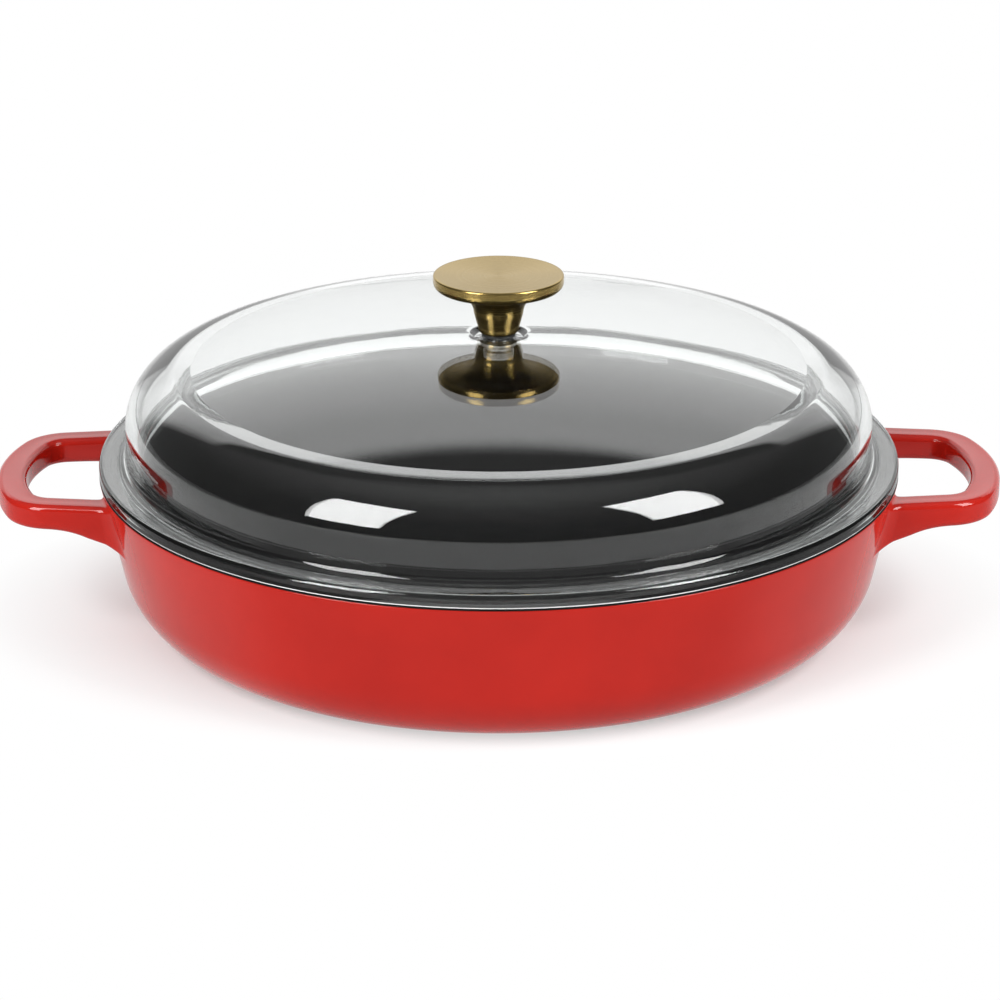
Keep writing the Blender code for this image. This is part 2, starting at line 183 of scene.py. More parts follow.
def bowl_outside():
    """From the red lip under the black band down to the middle of the base."""
    corner_centre = BELLY_RISE + BASE_CORNER
    corner = (beside_wall(BASE_CORNER, corner_centre), corner_centre)
    ring_inside = corner[0] - FOOT_RING
    ring_outside = corner[0] - FOOT_INSET
    lip = (RIM_RADIUS - RIM_LIP, BAND_FOOT - ENAMEL_GAP - RIM_LIP)
    return [
        *arc(lip, RIM_LIP, QUARTER, -WALL_TAPER, LIP_PIECES),
        *arc(corner, BASE_CORNER, -WALL_TAPER, -QUARTER, CORNER_PIECES),
        (ring_outside, BELLY_RISE),
        *arc((ring_outside - FOOT_EDGE, FOOT_EDGE), FOOT_EDGE, 0.0, -QUARTER, ROUND_PIECES),
        (ring_inside, 0.0),
        *arc((ring_inside, FOOT_EDGE), FOOT_EDGE, -QUARTER, -2 * QUARTER, ROUND_PIECES),
        (ring_inside - FOOT_EDGE, FOOT_RECESS),
        (0.0, FOOT_RECESS),
    ]


def bowl_inside(depth):
    """The lining's bare face, or a face that far under it, from outside the rim in to the axis."""
    rim_centre = PAN_HEIGHT - RIM_ROUND
    rim_outer = (RIM_RADIUS - RIM_ROUND, rim_centre)
    rim_inner = (beside_wall(WALL - RIM_ROUND, rim_centre), rim_centre)
    corner_radius = BASE_CORNER - WALL
    corner_centre = FLOOR + corner_radius
    corner = (beside_wall(WALL + corner_radius, corner_centre), corner_centre)
    return [
        (RIM_RADIUS - depth, BAND_FOOT),
        *arc(rim_outer, RIM_ROUND - depth, 0.0, QUARTER, RIM_PIECES),
        *arc(rim_inner, RIM_ROUND - depth, QUARTER, math.pi - WALL_TAPER, RIM_PIECES),
        *arc(corner, corner_radius + depth, -WALL_TAPER, -QUARTER, INNER_PIECES),
        (0.0, FLOOR - depth),
    ]


# %% Turn the bowl and its lining
BOWL_STEPS = 240
BOWL_RUN = 0.003  # longest straight run of the profile

iron_face = bowl_inside(ENAMEL + ENAMEL_GAP)[::-1]
casting = lathe("casting", shorten(iron_face + bowl_outside(), BOWL_RUN), BOWL_STEPS)
lining = lathe("lining", shorten(bowl_inside(0.0)[::-1] + bowl_inside(ENAMEL), BOWL_RUN), BOWL_STEPS)

# %% [markdown]
# ## The loop handles
#
# The handles are cast in one with the bowl, which shows where they meet it: each leg flares into the wall on
# a soft fillet and gets deeper towards it on one smooth curve, the gusset. A plain bar pushed into the wall
# would look welded on. So the bar is lofted from rings, and the rings near the wall follow the wall: every
# point of a ring is the same distance from it, and slides along it by what the fillet adds there.

# %% Sizes of the handles
HANDLE_SPREAD = 0.0905  # across both legs, where they pass the rim
HANDLE_DROP = 0.00195  # from the lining's lower edge down to the handle's top face
LEG_TAPER = math.radians(7.0)
HANDLE_CORNER = 0.0143  # along the middle of the bar
HANDLE_BOW = 0.075
BAR_WIDTH = 0.0114
BAR_HEIGHT = 0.010
BAR_EDGE = 0.0025
GUSSET_DROP = 0.0075  # how much deeper a leg is at the wall
GUSSET_LENGTH = 0.0228
GUSSET_CURVE = 2.4
ROOT_FILLET = 0.005  # beside a leg
UNDER_FILLET = 0.0015  # below it
HANDLE_TOP = BAND_FOOT - HANDLE_DROP
TOP_FILLET = HANDLE_DROP - GAP
print(f"the handles reach {HANDLE_LENGTH * 1000:.0f} mm past the rim")


# %% The bar's section
def bar_outline():
    """Points round the bar: across and above its top middle, the way they face, and share of the gusset."""
    edge_pieces = 8
    side = BAR_WIDTH / 2 - BAR_EDGE
    high = -BAR_EDGE
    low = BAR_EDGE - BAR_HEIGHT
    outline = []
    for corner, (across, height) in enumerate(((side, high), (-side, high), (-side, low), (side, low))):
        for i in range(edge_pieces + 1):
            angle = QUARTER * (corner + i / edge_pieces)
            sideways, upwards = math.cos(angle), math.sin(angle)
            u = across + BAR_EDGE * sideways
            share = 0.5 + u / BAR_WIDTH if height == low else 0.0
            outline.append((u, height + BAR_EDGE * upwards, sideways, upwards, share))
    return outline


def gusset(reach):
    """How much deeper the bar is at a distance from the wall."""
    return GUSSET_DROP * max(1.0 - reach / GUSSET_LENGTH, 0.0) ** GUSSET_CURVE


def fillet(reach, radius):
    """How much the bar swells at a distance from the wall that it grows out of."""
    short = min(max(radius - reach, 0.0), radius)
    return radius - math.sqrt(radius**2 - short**2)


# %% Rings along the bar
def leaves_circle(start, direction, centre, radius):
    """Where a line from start, along a unit direction, leaves a circle."""
    offset = start - centre
    along = offset.dot(direction)
    return start + direction * (math.sqrt(along**2 - offset.length_squared + radius**2) - along)


def root_ring(leg, along, reach):
    """Ring round a leg whose points all lie that far from the wall, slid along it by the fillet."""
    outward = Vector((-along.y, along.x))
    ring = []
    for u, v, sideways, upwards, share in bar_outline():
        lean = math.tan(WALL_TAPER) * (v - share * gusset(reach))
        z = HANDLE_TOP + v - share * gusset(reach + lean)
        point = leaves_circle(leg + outward * u, along, Vector((0.0, 0.0)), beside_wall(0.0, z) + reach)
        turn = sideways * fillet(reach, ROOT_FILLET) / point.length
        climb = upwards * fillet(reach, TOP_FILLET if upwards > 0 else UNDER_FILLET)
        point = Matrix.Rotation(turn, 2) @ point
        point *= 1.0 + climb * math.sin(WALL_TAPER) / point.length
        ring.append((point.x, point.y, z + climb * math.cos(WALL_TAPER)))
    return ring


def bar_ring(middle, outward):
    """Ring square to the bar at a point on its middle."""
    reach = middle.length - beside_wall(0.0, HANDLE_TOP)
    ring = []
    for u, v, _, _, share in bar_outline():
        point = middle + outward * u
        ring.append((point.x, point.y, HANDLE_TOP + v - share * gusset(reach)))
    return ring


# %% Half a loop
def half_handle():
    """Rings along half of the loop, from inside the wall to the middle of its end."""
    along = Vector((math.cos(LEG_TAPER), -math.sin(LEG_TAPER)))
    outward = Vector((math.sin(LEG_TAPER), math.cos(LEG_TAPER)))
    leg = Vector((RIM_RADIUS, (HANDLE_SPREAD - BAR_WIDTH) / 2))
    bow = Vector((RIM_RADIUS + HANDLE_LENGTH - BAR_WIDTH / 2 - HANDLE_BOW, 0.0))
    corner = leaves_circle(leg - outward * HANDLE_CORNER, along, bow, HANDLE_BOW - HANDLE_CORNER)
    meeting = math.atan2(corner.y - bow.y, corner.x - bow.x)

    root_pieces, leg_pieces, corner_pieces, bow_pieces = 14, 12, 18, 18
    slopes = [QUARTER * (1.0 - i / root_pieces) for i in range(root_pieces + 1)]
    reaches = [-WALL / 2] + [ROOT_FILLET * (1.0 - math.sin(slope)) for slope in slopes]
    rings = [root_ring(leg, along, reach) for reach in reaches]

    root_end = leaves_circle(leg, along, Vector((0.0, 0.0)), beside_wall(0.0, HANDLE_TOP) + ROOT_FILLET)
    leg_end = corner + outward * HANDLE_CORNER
    rings += [bar_ring(root_end.lerp(leg_end, i / leg_pieces), outward) for i in range(1, leg_pieces)]
    for centre, radius, start, end, pieces in (
        (corner, HANDLE_CORNER, QUARTER - LEG_TAPER, meeting, corner_pieces),
        (bow, HANDLE_BOW, meeting, 0.0, bow_pieces),
    ):
        for i in range(pieces):
            angle = start + (end - start) * i / pieces
            across = Vector((math.cos(angle), math.sin(angle)))
            rings.append(bar_ring(centre + across * radius, across))
    return rings + [bar_ring(bow + Vector((HANDLE_BOW, 0.0)), Vector((1.0, 0.0)))]


# %% Loft a handle and join it to the bowl
def loft(name, rings):
    """A closed mesh through rings with the same number of points, with both ends filled."""
    mesh = bpy.data.meshes.new(name)
    bm = bmesh.new()
    loops = [[bm.verts.new(point) for point in ring] for ring in rings]
    for ring, following in zip(loops, loops[1:]):
        for i in range(len(ring)):
            j = (i + 1) % len(ring)
            bm.faces.new((ring[i], ring[j], following[j], following[i]))
    bm.faces.new(loops[0])
    bm.faces.new(loops[-1])
    bmesh.ops.recalc_face_normals(bm, faces=bm.faces)
    bm.to_mesh(mesh)
    bm.free()
    return new_piece(name, mesh)


def combine(obj, operation, others):
    """Joins the others to obj, or cuts them out of it, and throws them away."""
    for other in others:
        boolean = obj.modifiers.new(other.name, "BOOLEAN")
        boolean.operation = operation
        boolean.object = other
        boolean.solver = "MANIFOLD"
    settle(obj)
    for other in others:
        bpy.data.objects.remove(other)
    return obj


half = half_handle()
loop = half + [[(x, -y, z) for x, y, z in ring] for ring in half[-2::-1]]
opposite = [[(-x, -y, z) for x, y, z in ring] for ring in loop]
combine(casting, "UNION", [loft("right_handle", loop), loft("left_handle", opposite)])
print(f"casting with handles: {len(casting.data.polygons)} faces")

# %% [markdown]
# ## The glass lid
#
# The lid was pressed from a gob of hot glass: a flat crown, a round shoulder, an upright wall and a flange
# that rests on the rim, with a ring under it that keeps the lid from sliding. Glass shows both of its faces,
# so the mesh is a closed shell of the real thickness and not one sheet.
#
# Two faults of the press are kept. Inside, where the crown ends, it left a flatter ring, the land. The glass
# is a thin wedge there, which bends the view up over the far rim, and that is why a white line runs round the
# dome. And no pressed face is quite true, so both faces wave by about a hundredth of a millimetre.

# %% Sizes of the lid, with heights above the rim
GLASS = 0.0046
FLANGE_WIDTH = 0.0105
FLANGE_THICKNESS = 0.005
FLANGE_ROUND = 0.0018
FLANGE_BEVEL = 0.0008
DOME_RISE = 0.0514 + RIM_DROP
DOME_WALL = 0.0168 + RIM_DROP
DOME_SHOULDER = 0.0215
DOME_ROOT = 0.0035
RING_DEPTH = 0.005
RING_WIDTH = 0.0035
RING_PLAY = 0.0015
WALL_FOOT = 0.006  # where the inner wall runs out to the ring
LAND_INSET = 0.0202  # from the wall's outside in to the land
LAND_WIDTH = 0.0062
LAND_FALL = math.radians(5.0)
LAND_CREASE = 0.0001
INNER_TURN = math.radians(80.0)  # from the wall to the land
GLASS_HOLE = 0.0048
SEAT_DEPTH = 0.0013  # of the dish that the knob's gasket sits in
SEAT_MARGIN = 0.0037
SEAT_SLOPE = 0.003  # how wide the dish's soft side is
SEAT_PIECES = 12
CROWN_PIECES = 70
SHOULDER_PIECES = 28
ROOT_PIECES = 10
FLANGE_PIECES = 8
RING_PIECES = 16
SEAT_RADIUS = NECK_FOOT + SEAT_MARGIN
DOME_RADIUS = RIM_RADIUS - FLANGE_WIDTH
print(f"dome {DOME_RADIUS * 2000:.0f} mm across, {DOME_RISE * 1000:.0f} mm above the rim")


# %% The lid's profile
def lid_profile():
    """The closed outline of the glass: over the dome and flange, round the ring and back under the dome."""
    foot = GAP
    top = foot + FLANGE_THICKNESS
    shoulder = (DOME_RADIUS - DOME_SHOULDER, DOME_WALL)
    rise = DOME_RISE - DOME_WALL
    crown_radius = (shoulder[0] ** 2 + rise**2 - DOME_SHOULDER**2) / (2 * (rise - DOME_SHOULDER))
    crown = (0.0, DOME_RISE - crown_radius)
    crown_end = math.acos(shoulder[0] / (crown_radius - DOME_SHOULDER))
    root = (DOME_RADIUS + DOME_ROOT, top + DOME_ROOT)
    edge_top = (RIM_RADIUS - FLANGE_ROUND, top - FLANGE_ROUND)
    edge_foot = (RIM_RADIUS - FLANGE_BEVEL, foot + FLANGE_BEVEL)
    ring_radius = beside_wall(WALL, PAN_HEIGHT - RING_DEPTH) - RING_PLAY
    ring = (ring_radius - RING_WIDTH / 2, RING_WIDTH / 2 - RING_DEPTH)
    under = crown_radius - GLASS
    land_end = DOME_RADIUS - LAND_INSET
    land_start = land_end - LAND_WIDTH
    land_top = crown[1] + math.sqrt(under**2 - land_start**2)
    land_foot = land_top - LAND_WIDTH * math.tan(LAND_FALL)
    inner_wall = DOME_RADIUS - GLASS
    inner_radius = (LAND_INSET - GLASS) / (1.0 - math.cos(INNER_TURN))
    inner_shoulder = (inner_wall - inner_radius, land_foot - inner_radius * math.sin(INNER_TURN))
    crease = LAND_CREASE * math.tan(LAND_FALL)
    seat = DOME_RISE - SEAT_DEPTH
    seat_rise = crown[1] + math.sqrt(crown_radius**2 - SEAT_RADIUS**2) - seat
    dish = [
        (SEAT_RADIUS - SEAT_SLOPE * (1.0 - share), seat + seat_rise * (1.0 - math.cos(math.pi * share)) / 2)
        for share in (i / SEAT_PIECES for i in range(SEAT_PIECES))
    ]
    seat_end = math.acos(SEAT_RADIUS / crown_radius)
    under_start = math.acos((land_start - LAND_CREASE) / under)
    under_end = math.acos(GLASS_HOLE / under)
    return [
        (GLASS_HOLE, seat),
        *dish,
        *arc(crown, crown_radius, seat_end, crown_end, CROWN_PIECES),
        *arc(shoulder, DOME_SHOULDER, crown_end, 0.0, SHOULDER_PIECES)[1:],
        *arc(root, DOME_ROOT, math.pi, 1.5 * math.pi, ROOT_PIECES),
        *arc(edge_top, FLANGE_ROUND, QUARTER, 0.0, FLANGE_PIECES),
        *arc(edge_foot, FLANGE_BEVEL, 0.0, -QUARTER, FLANGE_PIECES),
        (ring_radius, foot),
        *arc(ring, RING_WIDTH / 2, 0.0, -math.pi, RING_PIECES),
        (inner_wall, WALL_FOOT),
        *arc(inner_shoulder, inner_radius, 0.0, INNER_TURN, SHOULDER_PIECES),
        (land_end - LAND_CREASE, land_foot + crease),
        (land_start + LAND_CREASE, land_top - crease),
        (land_start, land_top),
        *arc(crown, under, under_start, under_end, CROWN_PIECES),
    ]


# %% Turn the lid and let it wave
LID_STEPS = 256
LID_RUN = 0.0022
WAVE_DEPTH = 0.000015
WAVES_PER_METRE = 26.0


def let_wave(obj, depth, per_metre):
    """Moves each point along its normal by smooth noise, as a pressed face has it."""
    normals = [vertex.normal.copy() for vertex in obj.data.vertices]
    for vertex, normal in zip(obj.data.vertices, normals):
        vertex.co += normal * (depth * noise.noise(vertex.co * per_metre))


glass_profile = [(r, z + PAN_HEIGHT) for r, z in shorten(lid_profile(), LID_RUN)]
glass_lid = lathe("glass_lid", glass_profile, LID_STEPS)
let_wave(glass_lid, WAVE_DEPTH, WAVES_PER_METRE)

# %% [markdown]
# ## The knob
#
# The knob is turned from brass bar: a thick disc to hold, with a crisp upper edge, and a wide neck that
# flares out into it. Its top is dished by half a millimetre, so the brushed sheen bends a little. The hole
# for the screw is there too.

# %% Turn the knob
KNOB_EDGE = 0.0053  # height of the disc at its edge
KNOB_ROUND = 0.0026  # round of the edge's underside
KNOB_CRISP = 0.0007  # round of the top's edge
KNOB_DISH = 0.0006
NECK_RADIUS = 0.0096
NECK_LENGTH = 0.0081
FLARE_BEND = 1.05  # 1 is a plain ellipse, more is nearer to a cone
FOOT_ROUND = 0.0014
SCREW_RADIUS = 0.003
SCREW_HOLE = SCREW_RADIUS + GAP
SCREW_GRIP = 0.010
SCREW_POINT = 0.0008
KNOB_STEPS = 160
KNOB_RUN = 0.001


def knob_profile():
    """From the middle of the dished top, down the outside, and up the screw's hole."""
    edge = KNOB_RADIUS - KNOB_ROUND
    brow = KNOB_RADIUS - KNOB_CRISP
    disc_foot = KNOB_TOP - KNOB_EDGE
    flare_foot = KNOB_FOOT + NECK_LENGTH
    flare_pieces, dish_pieces, round_pieces, crisp_pieces = 24, 16, 8, 6
    dish = [
        (brow * i / dish_pieces, KNOB_TOP - KNOB_DISH * (1.0 - (i / dish_pieces) ** 2))
        for i in range(dish_pieces)
    ]
    flare = [
        (
            edge - (edge - NECK_RADIUS) * math.cos(angle) ** FLARE_BEND,
            disc_foot - (disc_foot - flare_foot) * (1.0 - math.sin(angle) ** FLARE_BEND),
        )
        for angle in (QUARTER * (1.0 - i / flare_pieces) for i in range(flare_pieces + 1))
    ]
    bore_end = KNOB_FOOT + SCREW_GRIP + SCREW_POINT
    return [
        *dish,
        *arc((brow, KNOB_TOP - KNOB_CRISP), KNOB_CRISP, QUARTER, 0.0, crisp_pieces),
        *arc((edge, disc_foot + KNOB_ROUND), KNOB_ROUND, 0.0, -QUARTER, round_pieces)[:-1],
        *flare,
        *arc((NECK_FOOT - FOOT_ROUND, KNOB_FOOT + FOOT_ROUND), FOOT_ROUND, 0.0, -QUARTER, crisp_pieces),
        (SCREW_HOLE, KNOB_FOOT),
        (SCREW_HOLE, bore_end),
        (0.0, bore_end),
    ]


knob = lathe("knob", shorten(knob_profile(), KNOB_RUN), KNOB_STEPS)

# %% [markdown]
# ## What holds the knob
#
# Metal never bears on glass: a silicone washer lies under the knob, pressed in under the round of its foot,
# and a silicone sleeve with a flange lines the hole from below. Under that come a flat washer, a split spring
# washer and a pan head screw. They are small, but clear glass hides nothing. The rubber pieces get soft
# edges, and the steel pieces crisp ones.

# %% Rubber pieces
SMALL_STEPS = 96
SOFT_EDGE = 0.0003
GROMMET_WALL = 0.0012
GASKET_INSET = 0.0013  # how much smaller the gasket is, pressed in under the knob's foot


def rounded_ring(inner, outer, foot, top, edge):
    """Profile of a ring with all four edges rounded."""
    return [
        *arc((inner + edge, top - edge), edge, 2 * QUARTER, QUARTER, ROUND_PIECES),
        *arc((outer - edge, top - edge), edge, QUARTER, 0.0, ROUND_PIECES),
        *arc((outer - edge, foot + edge), edge, 0.0, -QUARTER, ROUND_PIECES),
        *arc((inner + edge, foot + edge), edge, -QUARTER, -2 * QUARTER, ROUND_PIECES),
    ]


def node_ring(name, node, edge, inset=0.0):
    """A ring with the heights of its solid and its radius less an inset, bored for the screw."""
    low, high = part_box(node)
    return lathe(name, rounded_ring(SCREW_HOLE, high.x - inset, low.z, high.z, edge), SMALL_STEPS)


def grommet_profile():
    """A sleeve that stands in the glass's hole, with a flange under it."""
    low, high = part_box("hole_grommet")
    seat = low.z + GROMMET_WALL
    sleeve = SCREW_HOLE + GROMMET_WALL
    edge = SOFT_EDGE
    return [
        *arc((SCREW_HOLE + edge, high.z - edge), edge, 2 * QUARTER, QUARTER, ROUND_PIECES),
        *arc((sleeve - edge, high.z - edge), edge, QUARTER, 0.0, ROUND_PIECES),
        (sleeve, seat),
        *arc((high.x - edge, seat - edge), edge, QUARTER, 0.0, ROUND_PIECES),
        *arc((high.x - edge, low.z + edge), edge, 0.0, -QUARTER, ROUND_PIECES),
        (SCREW_HOLE, low.z),
    ]


gasket = node_ring("gasket", "knob_gasket", SOFT_EDGE, GASKET_INSET)
grommet = lathe("grommet", grommet_profile(), SMALL_STEPS)

# %% Washers
CRISP_EDGE = 0.00015
LOCK_SPLIT = 0.0012
LOCK_LEAN = math.radians(25.0)


def split_ring(node):
    """Rings of a spring washer's section from one side of its slanted split round to the other."""
    low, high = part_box(node)
    middle = (low.z + high.z) / 2
    section = rounded_ring(SCREW_HOLE, high.x, low.z, high.z, CRISP_EDGE)
    opening = LOCK_SPLIT / math.cos(LOCK_LEAN) / 2
    rings = []
    for i in range(SMALL_STEPS + 1):
        ring = []
        for r, z in section:
            half_split = opening / r
            angle = half_split + (2 * math.pi - 2 * half_split) * i / SMALL_STEPS
            angle += (z - middle) * math.tan(LOCK_LEAN) / r
            ring.append((r * math.cos(angle), r * math.sin(angle), z))
        rings.append(ring)
    return rings


washer = node_ring("washer", "flat_washer", CRISP_EDGE)
spring_washer = settle(loft("spring_washer", split_ring("lock_washer")))
print(f"spring_washer: {len(spring_washer.data.polygons)} faces")

# %% [markdown]
# ## The screw
#
# A thread is a spiral, so it can't be turned from one profile. Rings round the shank do it: each point's
# radius follows a triangle wave of its height less its share of a turn, which makes one tooth climb by one
# pitch each turn. The head is a low dome with a cross cut into it for the driver.

# %% The screw
HEAD_RADIUS = 0.0058
HEAD_HEIGHT = 0.0037
HEAD_CROWN = 0.0012
HEAD_PIECES = 16
SHANK_SINK = HEAD_HEIGHT / 4  # how far the plain end of the shank is sunk into the head
DRIVE_WIDTH = 0.0012
DRIVE_LENGTH = 0.0058
DRIVE_DEPTH = 0.002
DRIVE_TAPER = 0.6  # how narrow the cross is at its foot
THREAD_PITCH = 0.001
THREAD_DEPTH = 0.0005
THREAD_SIDES = 32
RINGS_PER_PITCH = 8
SCREW_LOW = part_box("knob_screw")[0].z
SCREW_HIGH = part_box("knob_screw")[1].z
HEAD_SEAT = SCREW_LOW + HEAD_HEIGHT


def thread_ring(z):
    """One ring of the shank, which runs out plain at the head and tapers at the point."""
    ring = []
    fade = min(1.0, (z - HEAD_SEAT) / THREAD_PITCH)
    taper = max(0.0, SCREW_POINT - (SCREW_HIGH - z))
    for i in range(THREAD_SIDES):
        turn = i / THREAD_SIDES
        wave = abs(2.0 * (((z - HEAD_SEAT) / THREAD_PITCH - turn) % 1.0) - 1.0)
        radius = min(SCREW_RADIUS - THREAD_DEPTH * wave * fade, SCREW_RADIUS - taper)
        ring.append((radius * math.cos(2 * math.pi * turn), radius * math.sin(2 * math.pi * turn), z))
    return ring


def plain_ring(z):
    angles = [2 * math.pi * i / THREAD_SIDES for i in range(THREAD_SIDES)]
    return [(SCREW_RADIUS * math.cos(a), SCREW_RADIUS * math.sin(a), z) for a in angles]


def drive_slot(turn):
    """One arm of the cross, narrower at its foot, as a driver's tip is."""
    rings = []
    for z, share in ((SCREW_LOW - DRIVE_DEPTH, 1.0), (SCREW_LOW + DRIVE_DEPTH, DRIVE_TAPER)):
        x, y = DRIVE_LENGTH / 2 * share, DRIVE_WIDTH / 2 * share
        corners = [Vector(corner) for corner in ((x, y, z), (-x, y, z), (-x, -y, z), (x, -y, z))]
        rings.append([Matrix.Rotation(turn, 3, "Z") @ corner for corner in corners])
    return loft("drive_slot", rings)


def make_screw():
    """The threaded shank and the crowned head, joined, less the driver's cross."""
    start = HEAD_SEAT - SHANK_SINK
    count = round((SCREW_HIGH - start) / THREAD_PITCH * RINGS_PER_PITCH)
    heights = [start + (SCREW_HIGH - start) * i / count for i in range(count + 1)]
    shank = loft("screw", [thread_ring(z) if z > HEAD_SEAT else plain_ring(z) for z in heights])
    crown = (HEAD_RADIUS**2 + HEAD_CROWN**2) / (2 * HEAD_CROWN)
    sweep = math.asin(HEAD_RADIUS / crown)
    dome = arc((0.0, SCREW_LOW + crown), crown, sweep - QUARTER, -QUARTER, HEAD_PIECES)
    head = lathe("screw_head", [(0.0, HEAD_SEAT), (HEAD_RADIUS, HEAD_SEAT), *dome], SMALL_STEPS)
    combine(shank, "UNION", [head])
    return combine(shank, "DIFFERENCE", [drive_slot(0.0), drive_slot(QUARTER)])


screw = make_screw()
print(f"screw: {len(screw.data.polygons)} faces, {SCREW_HIGH - SCREW_LOW:.4f} m long")

# %% [markdown]
# ## Finishes
#
# Each finish is one Principled shader with a few texture nodes round it. `add` makes a node, sets its options
# and fills its sockets with a number, a colour or a link, so that a finish reads from top to bottom. All
# textures are drawn in object space, in metres, so a scale of 100 makes grains about 10 mm across.


# %% Helpers for nodes
def new_finish(name):
    material = bpy.data.materials.new(name)
    material.use_nodes = True
    tree = material.node_tree
    return material, tree, tree.nodes["Principled BSDF"]


def fill(tree, node, sockets):
    """Fills sockets by name with numbers and colours, or links them to another node's output."""
    for label, value in sockets.items():
        if isinstance(value, bpy.types.NodeSocket):
            tree.links.new(value, node.inputs[label])
        else:
            node.inputs[label].default_value = value


def add(tree, kind, sockets, **options):
    node = tree.nodes.new("ShaderNode" + kind)
    for option, value in options.items():
        setattr(node, option, value)
    fill(tree, node, sockets)
    return node


def place(tree):
    """Where a spot is on its own object, in metres."""
    return add(tree, "TexCoord", {}).outputs["Object"]


def grain(tree, scale, detail=2.0):
    """Noise between 0 and 1, with grains about 1 / scale metres across."""
    sockets = {"Vector": place(tree), "Scale": scale, "Detail": detail}
    return add(tree, "TexNoise", sockets).outputs["Fac"]


def spread(tree, value, low, high, start=0.3, end=0.7):
    """A number that runs from low to high while value runs from start to end."""
    sockets = {"Value": value, "From Min": start, "From Max": end, "To Min": low, "To Max": high}
    return add(tree, "MapRange", sockets).outputs["Result"]


def reckon(tree, operation, *values):
    """A number worked out from others, in the words of the Math node."""
    return add(tree, "Math", dict(enumerate(values)), operation=operation).outputs["Value"]


def shade(tree, value, dark, light, start=0.3, end=0.7):
    """A colour that runs from dark to light while value runs from start to end."""
    ramp = add(tree, "ValToRGB", {"Fac": value})
    for stop, position, colour in zip(ramp.color_ramp.elements, (start, end), (dark, light)):
        stop.position = position
        stop.color = (*colour, 1.0)
    return ramp.outputs["Color"]


def bump(tree, height, depth, below=None):
    """A normal bent by a height of that many metres, over another bump if there is one."""
    sockets = {"Height": height, "Strength": 1.0, "Distance": depth}
    if below:
        sockets["Normal"] = below
    return add(tree, "Bump", sockets).outputs["Normal"]


# %% [markdown]
# ### Red enamel
#
# Enamel is glass that was fired onto the iron. It's coloured through and glossy on top, and because it ran
# while it was hot it has a faint orange peel and is a little darker where it pooled. Two bumps of a few
# thousandths of a millimetre make the reflections live, and slow noise moves the red and the gloss.


# %% Red enamel
def red_enamel():
    material, tree, shader = new_finish("red_enamel")
    red = shade(tree, grain(tree, 26.0, detail=3.0), (0.345, 0.0098, 0.0052), (0.39, 0.0122, 0.0066))
    gloss = spread(tree, grain(tree, 60.0), 0.05, 0.09)
    peel = bump(tree, grain(tree, 190.0), 0.000012)
    skin = bump(tree, grain(tree, 1400.0), 0.0000015, peel)
    fill(tree, shader, {"Base Color": red, "Roughness": gloss, "Normal": skin, "Specular IOR Level": 0.4})
    return material


# %% [markdown]
# ### Black enamel
#
# The lining is a satin enamel: black, a little rough and full of fine grain, which is why the light inside
# the pan lies on it as a soft glow and not as a mirror image. A few paler specks sit in it.


# %% Black enamel
def black_enamel():
    material, tree, shader = new_finish("black_enamel")
    specks = add(tree, "TexVoronoi", {"Vector": place(tree), "Scale": 420.0}).outputs["Distance"]
    black = shade(tree, specks, (0.034, 0.034, 0.033), (0.010, 0.010, 0.010), start=0.04, end=0.09)
    satin = spread(tree, grain(tree, 75.0, detail=3.0), 0.52, 0.62)
    skin = bump(tree, grain(tree, 900.0), 0.000006)
    fill(tree, shader, {"Base Color": black, "Roughness": satin, "Normal": skin, "Specular IOR Level": 0.03})
    return material


# %% [markdown]
# ### Clear glass
#
# Window and kitchen glass has a trace of iron in it, so it looks clear through and green along its length.
# That is what an absorption volume does: the further light goes inside the shell, the more red it loses.
# The surface itself stays white and smooth, with the finest ripple that the press left. The thin white
# line of light above the rim is a painted highlight: the foot of the flange's outer edge is made a pale,
# rough band that lets little light through. It is masked by height and by distance from the axis.


# %% Clear glass
HIGHLIGHT_BAND_HEIGHT = 0.0006  # of the pale band painted at the foot of the flange's edge, a painted highlight
HIGHLIGHT_BAND_DEPTH = 0.001  # how far in from the edge it reaches
HIGHLIGHT_BAND_FADE = 0.0002
HIGHLIGHT_BAND_ROUGH = 0.5
HIGHLIGHT_BAND_CLEAR = 0.15  # share of the light that still passes through
HIGHLIGHT_BAND_TOP = PAN_HEIGHT + GAP + HIGHLIGHT_BAND_HEIGHT
GLASS_BEND = 1.5  # its index of refraction
GLASS_TINT = (0.62, 0.86, 0.79, 1.0)
TINT_DENSITY = 8.0


def axis_distance(tree):
    """How far a spot is from the axis, in metres."""
    spot = add(tree, "SeparateXYZ", {"Vector": place(tree)}).outputs
    flat = add(tree, "CombineXYZ", {"X": spot["X"], "Y": spot["Y"]}).outputs["Vector"]
    return add(tree, "VectorMath", {0: flat}, operation="LENGTH").outputs["Value"]


